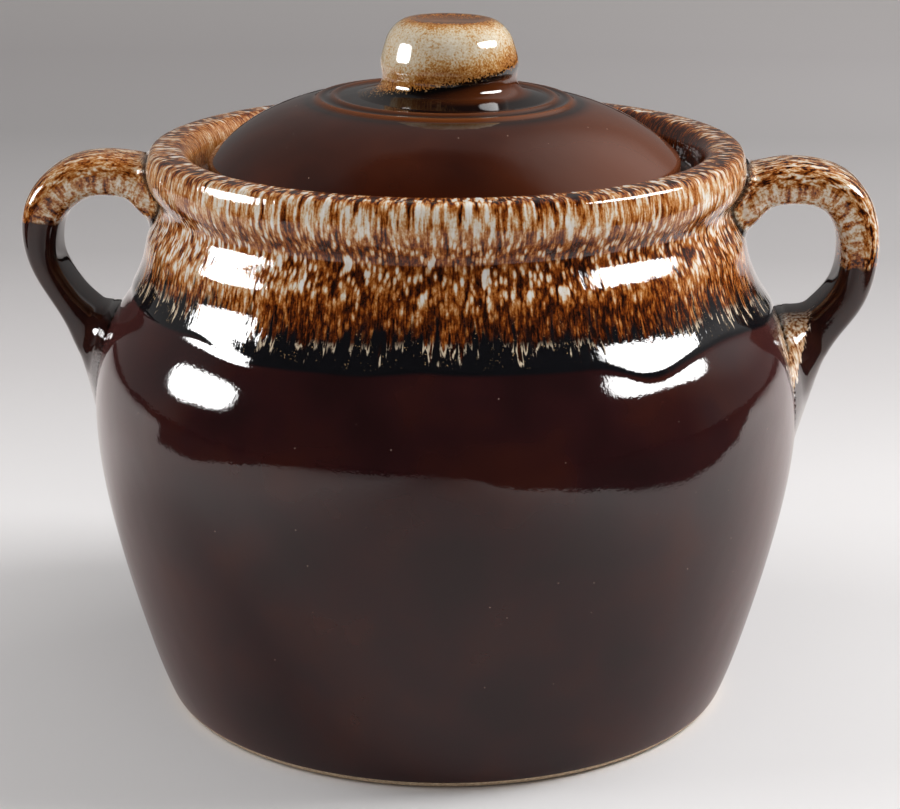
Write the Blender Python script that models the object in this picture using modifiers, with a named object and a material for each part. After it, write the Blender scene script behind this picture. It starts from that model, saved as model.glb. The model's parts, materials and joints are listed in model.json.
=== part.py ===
"""Bean pot of glazed stoneware: a round-bellied body with a rolled rim, two strap
handles, and a domed lid with a knob that lifts off a ledge inside the neck.

The pot stands on its foot at the origin, with +Z up and the handles along X.
Sizes are written in millimetres and turned into metres where a mesh is made.
"""
import math

import bpy
import bmesh
from mathutils import Vector

MM = 0.001
GAP = 0.3                     # clearance between pieces that touch
TURN_STEPS = 56               # steps round the body and the lid
KNOB_STEPS = 36

# Outside of the body, as radius and height
FOOT_RADIUS = 70.4
FOOT_EDGE = (74.2, 3.6)       # where the rounded foot edge meets the wall
LOW_WALL = (79.6, 20.0)
MID_WALL = (86.0, 45.0)
BELLY = (90.0, 76.5)
HIGH_BELLY = (88.6, 89.0)
SHOULDER = (84.2, 100.4)
NECK_FOOT = (77.0, 113.4)
NECK = (75.1, 120.5)
GROOVE = (72.0, 128.2)        # waist under the rolled rim

# Rolled rim: its crest stands between the outer roll and the mouth wall
POT_HEIGHT = 143.0
CREST_RADIUS = 67.8
ROLL_RADIUS = 7.5
ROLL_END_DEGREES = -42.0
MOUTH_RADIUS = 63.5
MOUTH_ROUND = 5.5             # height of the rounding from crest to mouth wall

# Ledge that carries the lid, and the inside below it
LEDGE_RADIUS = 54.5
LEDGE_HEIGHT = 133.7
LEDGE_NOSE = 1.5              # radius of the ledge's rounded edge
LEDGE_FILLET = 2.0
WALL = 6.5
FLOOR = 8.0
FOOT_RECESS = 1.5
FOOT_RING = 8.0               # width of the flat ring that the pot stands on

# Lid: a dome that falls away from the knob, an edge lip and a locating ring
LID_CROWN = 157.8
LID_FALL = 17.6
LID_REACH = 58.5              # radius at which the dome has dropped by LID_FALL
LID_POWER = 3.1
LID_RADIUS = 59.3
LID_REST = LEDGE_HEIGHT + GAP
LID_LIP_TOP = 138.8           # height at which the dome turns down into the lip
LID_LIP_ROUND = 2.0           # rounding under the lip
LOCATOR_RADIUS = 52.0
LOCATOR_WALL = 3.0
LOCATOR_DEPTH = 6.2
LID_THICKNESS = 5.8
LOCATOR_ROOT = 9.3            # clay over the top of the locating ring
DOME_RADII = (36.0, 41.0, 45.5, 49.5, 53.0, 56.0, LID_REACH)
UNDERSIDE_RADII = (44.0, 34.0, 20.0, 0.0)
RIDGE_RADII = (26.5, 30.6)    # two raised rings round the knob
RIDGE_HEIGHT = 0.6
RIDGE_HALF_WIDTH = 1.4

# Knob: a flattened ball with a waist and a flared base
SEAT_RADIUS = 20.0            # flat on the lid that the knob is joined to
SEAT_EDGE_RADIUS = 23.0
KNOB_BASE_RADIUS = 19.2
KNOB_WAIST = (17.0, 161.0)
KNOB_WIDEST = (17.5, 165.0)
KNOB_SHOULDER = (15.6, 170.4)
TOTAL_HEIGHT = 174.0
KNOB_TOP_EDGE = (10.5, TOTAL_HEIGHT)
KNOB_DISH = 0.6               # how far the middle of the top is sunk
KNOB_DISH_RADIUS = 7.0

# Strap handle: centre line as reach from the axis, height and relative size of the strap
STRAP_THICKNESS = 8.8
STRAP_WIDTH = 18.4
STRAP_LINE = (
    (71.0, 130.0, 1.30),
    (77.3, 132.4, 1.18),
    (84.3, 133.7, 1.12),
    (91.4, 133.6, 1.14),
    (97.9, 131.0, 1.18),
    (102.6, 125.8, 1.12),
    (104.5, 119.0, 1.03),
    (103.7, 112.0, 0.93),
    (100.4, 105.6, 0.92),
    (95.7, 100.2, 1.08),
    (91.0, 94.4, 1.34),
    (89.2, 85.0, 1.04),
    (87.4, 76.0, 0.85),
    (85.0, 68.0, 0.80),
)


def arc(centre, radii, start, end, steps):
    """Points on an elliptical arc, angles in degrees from the outward direction."""
    points = []
    for step in range(steps + 1):
        angle = math.radians(start + (end - start) * step / steps)
        points.append((centre[0] + radii[0] * math.cos(angle),
                       centre[1] + radii[1] * math.sin(angle)))
    return points


def flow(knots, steps):
    """Smooth curve through the knots, with the given steps between each pair."""
    ends = [knots[0]] + list(knots) + [knots[-1]]
    points = []
    for before, start, end, after in zip(ends, ends[1:], ends[2:], ends[3:]):
        for step in range(steps):
            t = step / steps
            point = []
            for axis in range(2):
                slope_in = (end[axis] - before[axis]) / 2
                slope_out = (after[axis] - start[axis]) / 2
                point.append((2 * t**3 - 3 * t**2 + 1) * start[axis]
                             + (t**3 - 2 * t**2 + t) * slope_in
                             + (3 * t**2 - 2 * t**3) * end[axis]
                             + (t**3 - t**2) * slope_out)
            points.append(tuple(point))
    points.append(tuple(knots[-1]))
    return points


def pot_outside():
    """Outside of the body from the rim's crest down to the foot."""
    roll_centre = (CREST_RADIUS, POT_HEIGHT - ROLL_RADIUS)
    roll = arc(roll_centre, (ROLL_RADIUS, ROLL_RADIUS), 90, ROLL_END_DEGREES, 9)
    wall = flow((GROOVE, NECK, NECK_FOOT, SHOULDER, HIGH_BELLY, BELLY,
                 MID_WALL, LOW_WALL, FOOT_EDGE), 2)
    foot_round = (FOOT_EDGE[0] - FOOT_RADIUS, FOOT_EDGE[1])
    foot = arc((FOOT_RADIUS, FOOT_EDGE[1]), foot_round, 0, -90, 4)
    return roll + wall + foot[1:]


def pot_inside():
    """Inside of the body from the middle of the floor up to the rim's crest."""
    bowl = [(0.0, FLOOR)]
    bowl += flow(((FOOT_RADIUS - 3 * WALL, FLOOR),
                  (FOOT_RADIUS - WALL, FLOOR + WALL / 2),
                  (LOW_WALL[0] - WALL, LOW_WALL[1]),
                  (MID_WALL[0] - WALL, MID_WALL[1]),
                  (BELLY[0] - WALL, BELLY[1]),
                  (HIGH_BELLY[0] - WALL, HIGH_BELLY[1]),
                  (SHOULDER[0] - WALL, SHOULDER[1] - WALL / 2),
                  (NECK_FOOT[0] - WALL, NECK_FOOT[1] - WALL / 2),
                  (NECK[0] - WALL, NECK[1])), 2)
    nose_centre = (LEDGE_RADIUS + LEDGE_NOSE, LEDGE_HEIGHT - LEDGE_NOSE)
    nose = arc(nose_centre, (LEDGE_NOSE, LEDGE_NOSE), 225, 90, 4)
    fillet_centre = (MOUTH_RADIUS - LEDGE_FILLET, LEDGE_HEIGHT + LEDGE_FILLET)
    fillet = arc(fillet_centre, (LEDGE_FILLET, LEDGE_FILLET), -90, 0, 3)
    crest_centre = (CREST_RADIUS, POT_HEIGHT - MOUTH_ROUND)
    crest_radii = (CREST_RADIUS - MOUTH_RADIUS, MOUTH_ROUND)
    crest = arc(crest_centre, crest_radii, 180, 90, 5)
    return bowl + nose + fillet + crest[:-1]


def pot_foot():
    """Underside from the foot's edge to the axis: a flat ring round a shallow recess."""
    ring_inner = FOOT_RADIUS - FOOT_RING
    return [(ring_inner, 0.0), (ring_inner - FOOT_RECESS, FOOT_RECESS), (0.0, FOOT_RECESS)]


def dome_height(radius):
    """Height of the lid's top at a radius, with the two raised rings added."""
    height = LID_CROWN - LID_FALL * (radius / LID_REACH) ** LID_POWER
    for ridge in RIDGE_RADII:
        offset = abs(radius - ridge) / RIDGE_HALF_WIDTH
        if offset < 1:
            height += RIDGE_HEIGHT * math.cos(offset * math.pi / 2) ** 2
    return height


def lid_outline():
    """Lid from its top at the axis, over the dome and lip, to the underside."""
    seat_height = dome_height(SEAT_RADIUS)
    outline = [(0.0, seat_height), (SEAT_RADIUS, seat_height)]
    radii = [SEAT_EDGE_RADIUS]
    for ridge in RIDGE_RADII:
        radii += [ridge - RIDGE_HALF_WIDTH, ridge - RIDGE_HALF_WIDTH / 2, ridge,
                  ridge + RIDGE_HALF_WIDTH / 2, ridge + RIDGE_HALF_WIDTH]
    radii += DOME_RADII
    outline += [(radius, dome_height(radius)) for radius in radii]
    outline += [(LID_RADIUS, LID_LIP_TOP)]
    lip_centre = (LID_RADIUS - LID_LIP_ROUND, LID_REST + LID_LIP_ROUND)
    outline += arc(lip_centre, (LID_LIP_ROUND, LID_LIP_ROUND), 0, -90, 4)
    locator_bottom = LID_REST - LOCATOR_DEPTH
    locator_inner = LOCATOR_RADIUS - LOCATOR_WALL
    tip_radius = LOCATOR_WALL / 2
    outline += [(LOCATOR_RADIUS, LID_REST)]
    outline += arc((LOCATOR_RADIUS - tip_radius, locator_bottom + tip_radius),
                   (tip_radius, tip_radius), 0, -180, 4)
    inner_top = (locator_inner, dome_height(locator_inner) - LOCATOR_ROOT)
    under = [(radius, dome_height(radius) - LID_THICKNESS) for radius in UNDERSIDE_RADII]
    outline += flow([inner_top] + under, 2)
    return outline


def knob_outline():
    """Knob from the sunk middle of its top, down its side, to its flat base."""
    base_height = dome_height(SEAT_RADIUS) + GAP
    dish_height = TOTAL_HEIGHT - KNOB_DISH
    outline = [(0.0, dish_height), (KNOB_DISH_RADIUS, dish_height)]
    outline += flow((KNOB_TOP_EDGE, KNOB_SHOULDER, KNOB_WIDEST, KNOB_WAIST,
                     (KNOB_BASE_RADIUS, base_height)), 4)
    outline += [(0.0, base_height)]
    return outline


def grown(outline, distance):
    """The outline moved outwards by a distance, along the normal at each point."""
    moved = []
    for index, point in enumerate(outline):
        before = Vector(outline[max(index - 1, 0)])
        after = Vector(outline[min(index + 1, len(outline) - 1)])
        along = (after - before).normalized()
        moved.append((point[0] - along.y * distance, point[1] + along.x * distance))
    return moved


def link(new_object, collection):
    collection.objects.link(new_object)
    return new_object


def turned(name, outline, steps, collection):
    """A solid of revolution: the outline as edges, swept by a Screw modifier."""
    mesh = bpy.data.meshes.new(name)
    vertices = [(radius * MM, 0.0, height * MM) for radius, height in outline]
    edges = [(index, index + 1) for index in range(len(outline) - 1)]
    mesh.from_pydata(vertices, edges, [])
    piece = link(bpy.data.objects.new(name, mesh), collection)
    screw = piece.modifiers.new("Turn", "SCREW")
    screw.angle = math.tau
    screw.steps = steps
    screw.render_steps = steps
    screw.use_merge_vertices = True
    screw.merge_threshold = 0.00001
    screw.use_smooth_shade = True
    return piece


def strap_curve(name, collection):
    """The strap handle's bent bar, before its ends are cut to the body.

    It is drawn lying flat, with the curve's Z across the strap, and then stood up.
    """
    curve = bpy.data.curves.new(name, "CURVE")
    curve.dimensions = "3D"
    curve.twist_mode = "Z_UP"
    curve.resolution_u = 3
    curve.bevel_depth = STRAP_THICKNESS / 2 * MM
    curve.bevel_resolution = 2
    curve.extrude = (STRAP_WIDTH - STRAP_THICKNESS) / 2 * MM
    curve.use_fill_caps = True
    spline = curve.splines.new("BEZIER")
    spline.bezier_points.add(len(STRAP_LINE) - 1)
    for knot, (reach, height, thickness) in zip(spline.bezier_points, STRAP_LINE):
        knot.co = (reach * MM, height * MM, 0.0)
        knot.handle_left_type = "AUTO"
        knot.handle_right_type = "AUTO"
        knot.radius = thickness
    bar = link(bpy.data.objects.new(name, curve), collection)
    bar.rotation_euler.x = math.pi / 2
    return bar


def mesh_from_curve(curve_object, collection):
    """Turns a curve into a mesh object of the same name, with its caps welded on."""
    name = curve_object.name
    graph = bpy.context.evaluated_depsgraph_get()
    mesh = bpy.data.meshes.new_from_object(curve_object.evaluated_get(graph))
    place = curve_object.matrix_world.copy()
    bpy.data.objects.remove(curve_object)
    work = bmesh.new()
    work.from_mesh(mesh)
    bmesh.ops.remove_doubles(work, verts=work.verts, dist=0.00001)
    bmesh.ops.recalc_face_normals(work, faces=work.faces)
    work.to_mesh(mesh)
    work.free()
    mesh.name = name
    piece = link(bpy.data.objects.new(name, mesh), collection)
    piece.matrix_world = place
    return piece


def mirrored_copy(piece, name, collection):
    """The same piece on the other side of the pot."""
    mesh = piece.data.copy()
    mesh.name = name
    work = bmesh.new()
    work.from_mesh(mesh)
    for vertex in work.verts:
        vertex.co.x = -vertex.co.x
    bmesh.ops.reverse_faces(work, faces=work.faces)
    work.to_mesh(mesh)
    work.free()
    copy = link(bpy.data.objects.new(name, mesh), collection)
    copy.matrix_world = piece.matrix_world
    return copy


def cut_with(piece, cutter):
    cut = piece.modifiers.new("Fit to body", "BOOLEAN")
    cut.operation = "DIFFERENCE"
    cut.solver = "EXACT"
    cut.object = cutter


def glaze(name, colour, roughness):
    """Principled material for one piece's glaze."""
    material = bpy.data.materials.new(name)
    material.use_nodes = True
    shader = material.node_tree.nodes["Principled BSDF"]
    shader.inputs["Base Color"].default_value = (*colour, 1.0)
    shader.inputs["Roughness"].default_value = roughness
    shader.inputs["Metallic"].default_value = 0.0
    return material


def smooth(piece, degrees=35.0):
    piece.data.shade_smooth()
    piece.data.set_sharp_from_angle(angle=math.radians(degrees))


def main():
    for existing in list(bpy.data.objects):
        bpy.data.objects.remove(existing)
    pieces = bpy.data.collections.new("bean_pot")
    cutters = bpy.data.collections.new("cutters")
    for collection in (pieces, cutters):
        bpy.context.scene.collection.children.link(collection)

    body_outline = pot_inside() + pot_outside() + pot_foot()
    pot_body = turned("pot_body", body_outline, TURN_STEPS, pieces)
    lid = turned("lid", lid_outline(), TURN_STEPS, pieces)
    lid_knob = turned("lid_knob", knob_outline(), KNOB_STEPS, pieces)

    body_skin = grown(pot_outside(), GAP)
    skin_outline = [(0.0, body_skin[0][1])] + body_skin + [(0.0, body_skin[-1][1])]
    body_cutter = turned("body_cutter", skin_outline, TURN_STEPS, cutters)
    body_cutter.hide_render = True
    body_cutter.display_type = "WIRE"

    right_handle = mesh_from_curve(strap_curve("right_handle", pieces), pieces)
    left_handle = mirrored_copy(right_handle, "left_handle", pieces)
    for handle in (left_handle, right_handle):
        cut_with(handle, body_cutter)
        smooth(handle)

    brown = glaze("brown_gloss_glaze", (0.045, 0.017, 0.016), 0.12)
    dripped = glaze("mottled_drip_glaze", (0.33, 0.17, 0.08), 0.15)
    amber = glaze("amber_brown_glaze", (0.075, 0.025, 0.011), 0.12)
    for piece, material in ((pot_body, brown), (left_handle, dripped), (right_handle, dripped),
                            (lid, amber), (lid_knob, dripped)):
        piece.data.materials.append(material)


main()
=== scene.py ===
# %% [markdown]
# A glazed stoneware bean pot: a round belly under a rolled rim, two strap handles,
# and a domed lid with a knob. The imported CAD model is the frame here. Each cell makes
# one piece or one finish and puts it where the CAD says, so nothing has to be fitted.

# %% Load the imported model
import json
import math
from functools import partial

import bpy
import numpy as np
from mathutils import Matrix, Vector

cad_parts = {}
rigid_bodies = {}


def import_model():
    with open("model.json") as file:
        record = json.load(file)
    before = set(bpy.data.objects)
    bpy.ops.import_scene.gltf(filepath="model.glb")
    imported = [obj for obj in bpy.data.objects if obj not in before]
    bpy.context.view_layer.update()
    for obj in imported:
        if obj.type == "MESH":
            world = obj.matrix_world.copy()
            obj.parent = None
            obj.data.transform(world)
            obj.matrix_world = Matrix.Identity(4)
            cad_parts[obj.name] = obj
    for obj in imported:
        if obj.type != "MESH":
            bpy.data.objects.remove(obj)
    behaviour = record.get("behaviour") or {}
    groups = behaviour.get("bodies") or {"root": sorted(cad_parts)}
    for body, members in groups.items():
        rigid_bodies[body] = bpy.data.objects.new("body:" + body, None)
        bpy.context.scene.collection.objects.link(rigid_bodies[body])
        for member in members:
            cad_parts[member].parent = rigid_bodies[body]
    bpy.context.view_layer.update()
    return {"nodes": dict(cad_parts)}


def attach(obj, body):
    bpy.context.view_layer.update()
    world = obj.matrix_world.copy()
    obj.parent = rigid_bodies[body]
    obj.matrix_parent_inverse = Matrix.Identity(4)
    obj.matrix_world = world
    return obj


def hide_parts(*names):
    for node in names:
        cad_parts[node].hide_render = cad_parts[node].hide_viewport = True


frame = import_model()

print("CAD nodes:", sorted(frame["nodes"]))

# %% [markdown]
# The sizes are in millimetres, as a potter's drawing has them, and every mesh is made
# in metres. An outline is a list of points, each a radius from the axis and a height.
# A drawn pot needs smooth curves between a few measured points. Straight lines would
# show in the gloss, and a Bezier curve would have to be turned into a mesh first, so a
# cubic spline is worked out here, which keeps its bend even from knot to knot.

# %% A smooth line through measured points
MM = 0.001
SPLINE_FINE_STEPS = 40


def smooth_line(knots, spacing):
    """Points about `spacing` mm apart on a cubic spline through the knots."""
    knots = np.array(knots, float)
    count = len(knots)
    chords = np.linalg.norm(np.diff(knots[:, :2], axis=0), axis=1)
    system = np.eye(count)
    right_side = np.zeros_like(knots)
    for place in range(1, count - 1):
        before, after = chords[place - 1], chords[place]
        system[place, place - 1] = before
        system[place, place] = 2 * (before + after)
        system[place, place + 1] = after
        slope_after = (knots[place + 1] - knots[place]) / after
        slope_before = (knots[place] - knots[place - 1]) / before
        right_side[place] = 6 * (slope_after - slope_before)
    bend = np.linalg.solve(system, right_side)
    fine = []
    for place, chord in enumerate(chords):
        t = np.linspace(0, chord, SPLINE_FINE_STEPS, endpoint=False)[:, None]
        rest = chord - t
        fine.append((bend[place] * rest**3 + bend[place + 1] * t**3) / (6 * chord)
                    + (knots[place] / chord - bend[place] * chord / 6) * rest
                    + (knots[place + 1] / chord - bend[place + 1] * chord / 6) * t)
    fine = np.vstack(fine + [knots[-1:]])
    run = run_length(fine)
    places = np.linspace(0, run[-1], max(2, int(round(run[-1] / spacing)) + 1))
    return np.stack([np.interp(places, run, column) for column in fine.T], axis=1)


def run_length(points):
    """Distance along a line of points, from its first point."""
    steps = np.linalg.norm(np.diff(points[:, :2], axis=0), axis=1)
    return np.concatenate([[0.0], np.cumsum(steps)])


def arc(centre, radii, start_degrees, end_degrees, count):
    """Points on an elliptical arc, angles measured from the outward direction."""
    angles = np.radians(np.linspace(start_degrees, end_degrees, count))
    return np.stack([centre[0] + radii[0] * np.cos(angles),
                     centre[1] + radii[1] * np.sin(angles)], axis=1)


print("a test line has", len(smooth_line([(0, 0), (1, 1), (2, 0)], 0.1)), "points")

# %% [markdown]
# The body of such a pot is jiggered: a blade with the pot's outline is held against
# clay that turns on a wheel. The outline below is that blade. It runs from the middle
# of the floor up the inside, over the rolled rim, down the belly and under the foot. The
# rim has a flat top and a tight outer corner. Gloss shows every change of slope as a
# step in the lamps' reflections, so the rim, neck and shoulder have many close knots.

# %% Outline of the body
POT_HEIGHT = 143.0
CREST_RADIUS = 67.8
MOUTH_RADIUS = 63.5
MOUTH_ROUND = 5.5
LEDGE_RADIUS = 54.5
LEDGE_HEIGHT = 133.7
LEDGE_NOSE = 1.5
LEDGE_FILLET = 2.0
FLOOR = 8.0
ROLL_KNOTS = [(67.8, 143.0), (70.0, 142.98), (71.8, 142.93), (72.77, 142.8), (73.35, 142.58),
              (73.85, 142.2), (74.17, 141.75), (74.4, 141.2), (74.73, 140.2), (75.03, 139.0),
              (75.2, 138.0), (75.25, 137.2), (75.12, 135.8), (74.68, 134.2), (74.0, 132.8),
              (73.2, 131.6), (72.55, 130.6), (72.15, 129.8), (71.95, 129.2), (71.88, 128.6)]
NECK_KNOTS = [(71.93, 128.0), (72.1, 127.3), (72.5, 126.2), (73.08, 125.0), (73.8, 123.6),
              (74.4, 122.4), (74.87, 121.4), (75.18, 120.6), (75.41, 119.8), (75.62, 118.8),
              (75.84, 117.6), (76.13, 116.2), (76.42, 115.0), (76.73, 114.0)]
SHOULDER_KNOTS = [(77.08, 113.0), (77.54, 111.8), (78.22, 110.2), (79.08, 108.4),
                  (80.05, 106.6), (81.17, 104.8), (82.42, 103.0), (83.74, 101.0),
                  (85.12, 98.6), (86.37, 96.0), (87.54, 93.0), (88.44, 90.0), (89.27, 86.0),
                  (89.81, 81.5)]
BELLY_KNOTS = [(90.0, 76.5), (86.0, 45.0), (79.6, 20.0), (74.2, 3.6)]
FOOT_KNOTS = [(73.0, 1.3), (71.7, 0.25), (70.4, 0.0)]
INSIDE_KNOTS = [(50.9, 8.0), (63.9, 11.2), (73.1, 20.0), (79.5, 45.0), (83.5, 76.5),
                (82.1, 89.0), (77.7, 97.2), (70.5, 110.2), (68.6, 120.5), (61.5, 127.8),
                (54.94, 131.14)]
FOOT_UNDERSIDE = [(62.4, 0.0), (60.9, 1.5), (0.0, 1.5)]
WALL_SPACING = 0.55
LOW_WALL_SPACING = 3.0
LOW_WALL_TOP = 92.0
INSIDE_SPACING = 3.0


def body_outline():
    """Outline of the whole body, and the index of the rim's crest in it."""
    inside = np.vstack([[(0.0, FLOOR)], smooth_line(INSIDE_KNOTS, INSIDE_SPACING)])
    nose = arc((LEDGE_RADIUS + LEDGE_NOSE, LEDGE_HEIGHT - LEDGE_NOSE),
               (LEDGE_NOSE, LEDGE_NOSE), 225, 90, 6)
    fillet = arc((MOUTH_RADIUS - LEDGE_FILLET, LEDGE_HEIGHT + LEDGE_FILLET),
                 (LEDGE_FILLET, LEDGE_FILLET), -90, 0, 5)
    mouth = arc((CREST_RADIUS, POT_HEIGHT - MOUTH_ROUND),
                (CREST_RADIUS - MOUTH_RADIUS, MOUTH_ROUND), 180, 90, 10)
    wall = smooth_line(ROLL_KNOTS + NECK_KNOTS + SHOULDER_KNOTS + BELLY_KNOTS + FOOT_KNOTS,
                       WALL_SPACING)
    fine_part = wall[wall[:, 1] > LOW_WALL_TOP]
    low_part = wall[wall[:, 1] <= LOW_WALL_TOP]
    skip = int(LOW_WALL_SPACING / WALL_SPACING)
    coarse = low_part[low_part[:, 1] > BELLY_KNOTS[-1][1]][::skip]
    foot_edge = low_part[low_part[:, 1] <= BELLY_KNOTS[-1][1]]
    parts = [inside[:-1], nose, fillet, mouth[:-1], fine_part, coarse, foot_edge,
             FOOT_UNDERSIDE]
    crest_index = len(inside) - 1 + len(nose) + len(fillet) + len(mouth) - 1
    return np.vstack(parts), crest_index


pot_outline, crest = body_outline()
print("body outline:", len(pot_outline), "points, crest at", tuple(pot_outline[crest]))

# %% [markdown]
# On the wheel in Blender, a vertex is drawn along the outline with Extrude and then
# Spin sweeps it round the axis. A Screw modifier would make the same shape, but Spin is
# how one does it by hand. Spin leaves a double row of vertices where the turn closes,
# and a ring of them at each pole, so they are merged and the normals are made to agree.

# %% Turn an outline on the wheel
WELD = 0.000001


def start_piece(name):
    """Names the new object that an add operator has just made."""
    piece = bpy.context.object
    piece.name = name
    piece.data.name = name
    return piece


def turn_on_wheel(name, outline, steps):
    """A turned piece: a vertex extruded along the outline, then spun round Z."""
    bpy.ops.object.select_all(action="DESELECT")
    bpy.ops.mesh.primitive_plane_add(size=MM)
    piece = start_piece(name)
    bpy.ops.object.mode_set(mode="EDIT")
    bpy.ops.mesh.merge(type="CENTER")
    bpy.ops.transform.translate(value=(outline[0][0] * MM, 0.0, outline[0][1] * MM))
    for step in np.diff(outline, axis=0) * MM:
        bpy.ops.mesh.extrude_region_move(
            TRANSFORM_OT_translate={"value": (step[0], 0.0, step[1])})
    bpy.ops.mesh.select_all(action="SELECT")
    bpy.ops.mesh.spin(steps=steps, angle=math.tau, center=(0, 0, 0), axis=(0, 0, 1))
    bpy.ops.mesh.select_all(action="SELECT")
    bpy.ops.mesh.remove_doubles(threshold=WELD)
    bpy.ops.mesh.normals_make_consistent(inside=False)
    bpy.ops.object.mode_set(mode="OBJECT")
    return piece


BODY_STEPS = 240
pot_body = turn_on_wheel("stoneware_body", pot_outline, BODY_STEPS)
print("body:", len(pot_body.data.vertices), "vertices,", len(pot_body.data.polygons), "faces")

# %% [markdown]
# The rim and the shoulder wear a second, pale glaze that ran down in the kiln and
# stopped in a thick wavy edge. The edge is a real ridge that splits the light of the
# lamps, so it is geometry: a vertex group holds how thick the second glaze lies at each
# vertex, and a Displace modifier lifts the surface by that much along its normals.
# Sculpting could do the same, but a rule gives the same ridge each time.

# %% Thickness of the running glaze
# Angle round the pot in degrees from the right handle, and the height of the glaze edge
EDGE_KNOTS = [(-180, 106.8), (-165, 107.2), (-143, 106.5), (-133, 107.3), (-128, 105.4),
              (-122, 104.2), (-115, 104.3), (-109, 104.6), (-102, 104.5), (-96, 105.1),
              (-91, 106.1), (-88, 105.3), (-74, 105.0), (-67, 104.8),
              (-62, 105.0), (-58, 103.2), (-54, 100.9), (-50, 101.4), (-46, 103.0),
              (-41, 103.8), (-34, 104.8), (-26, 104.0), (-18, 102.6),
              (0, 102.0), (20, 103.5), (38, 105.0), (52, 104.2), (70, 105.8), (88, 104.6),
              (105, 106.0), (122, 105.0), (140, 106.6), (158, 105.9)]
EDGE_SAMPLES = 180
EDGE_SMOOTHINGS = 2
COAT_HEIGHTS = (-1.6, -0.6, 0.2, 1.0, 1.9, 3.0, 4.6, 7.0, 12.0, 20.0, 30.0)
COAT_THICKNESS = (0.0, 0.04, 0.22, 0.42, 0.48, 0.45, 0.39, 0.33, 0.25, 0.12, 0.0)
COAT_MAX = 0.48


def vertex_rows(piece, field):
    """Three numbers for each vertex, one row each, from a field such as 'normal'."""
    rows = np.zeros(len(piece.data.vertices) * 3)
    piece.data.vertices.foreach_get(field, rows)
    return rows.reshape(-1, 3)


def vertex_places(piece):
    """Vertex positions in millimetres, one row each."""
    return vertex_rows(piece, "co") / MM


def round_the_axis(places):
    """The angle of each place in degrees, and a row with its radius and its height."""
    degrees = np.degrees(np.arctan2(places[:, 1], places[:, 0]))
    return degrees, np.stack([np.hypot(places[:, 0], places[:, 1]), places[:, 2]], axis=1)


def edge_height(degrees):
    """Height of the running glaze's lower edge at each angle round the pot."""
    angles, heights = np.array(EDGE_KNOTS, float).T
    samples = np.arange(EDGE_SAMPLES) * 360.0 / EDGE_SAMPLES
    line = np.interp(samples, angles, heights, period=360.0)
    for _ in range(EDGE_SMOOTHINGS):
        line = (np.roll(line, 1) + 2 * line + np.roll(line, -1)) / 4
    return np.interp(degrees, samples, line, period=360.0)


def nearest_index(places, line):
    """For each place the index of the nearest point of a line."""
    return np.array([np.argmin(((line - place)**2).sum(axis=1)) for place in places])


def fill_group(piece, group_name, weights):
    """Writes one weight per vertex into a vertex group."""
    group = piece.vertex_groups.new(name=group_name)
    for index in np.nonzero(weights > 0)[0]:
        group.add([int(index)], float(weights[index]), "REPLACE")


def displace_by_group(piece, group_name, distance, direction="NORMAL"):
    """Moves the surface by the group's weight times a distance, and drops the group."""
    lift = piece.modifiers.new(group_name, "DISPLACE")
    lift.direction = direction
    lift.vertex_group = group_name
    lift.strength = distance * MM
    lift.mid_level = 0.0
    bpy.context.view_layer.objects.active = piece
    bpy.ops.object.modifier_apply(modifier=lift.name)
    piece.vertex_groups.clear()


fall_line = run_length(pot_outline)
fall_line = fall_line - fall_line[crest]
body_angles, body_meridian = round_the_axis(vertex_places(pot_body))
body_fall = fall_line[nearest_index(body_meridian, pot_outline)]
outside_rows = slice(crest, len(pot_outline) - len(FOOT_UNDERSIDE))
outside_outline = pot_outline[outside_rows]
edge_fall = np.interp(-edge_height(body_angles), -outside_outline[:, 1], fall_line[outside_rows])
above_edge = edge_fall - body_fall
coat = np.interp(above_edge, COAT_HEIGHTS, COAT_THICKNESS)
fill_group(pot_body, "running glaze", coat / COAT_MAX)
displace_by_group(pot_body, "running glaze", COAT_MAX)
print("running glaze is up to", COAT_MAX, "mm thick, on", int((coat > 0).sum()), "vertices")

# %% [markdown]
# The colours of the glaze follow the way it flowed: down the wall and over the rim.
# Object coordinates would smear the streaks on top of the rim, where the surface lies
# flat. So each vertex keeps its place on the unrolled pot as an attribute: a point on a
# circle of even size, and the distance from the rim's crest. It has no seam to hide.

# %% Remember how the glaze flowed
FLOW_RADIUS = 80.0


def store_numbers(piece, name, values):
    """Keeps one number per vertex as a named attribute."""
    layer = piece.data.attributes.new(name, "FLOAT", "POINT")
    layer.data.foreach_set("value", np.asarray(values, np.float32))


def store_vectors(piece, name, rows):
    """Keeps one vector per vertex, given in millimetres, as a named attribute."""
    layer = piece.data.attributes.new(name, "FLOAT_VECTOR", "POINT")
    layer.data.foreach_set("vector", np.asarray(rows * MM, np.float32).ravel())


def unrolled(degrees, fall, radius):
    """Seamless coordinates of a turned surface: round the axis and down the outline."""
    angles = np.radians(degrees)
    return np.stack([radius * np.cos(angles), radius * np.sin(angles), fall], axis=1)


store_vectors(pot_body, "glaze_flow", unrolled(body_angles, body_fall, FLOW_RADIUS))
store_numbers(pot_body, "above_edge", above_edge)
store_numbers(pot_body, "fall", body_fall)
print("fall from the crest to the glaze edge:", round(float(edge_fall.min()), 1), "to",
      round(float(edge_fall.max()), 1), "mm")

# %% [markdown]
# The lid is turned in the same way. Its top is a shallow dome with two raised rings
# round the knob, and under its edge a ring keeps it centred in the mouth. The edge is
# drawn finer than the dome, because a rounded edge is what catches the light. Soft clay
# sags a little in drying: the real dome leans to the right, while its edge is level.
# Displace modifiers along the axes give the lean, by a weight at each vertex.

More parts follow.
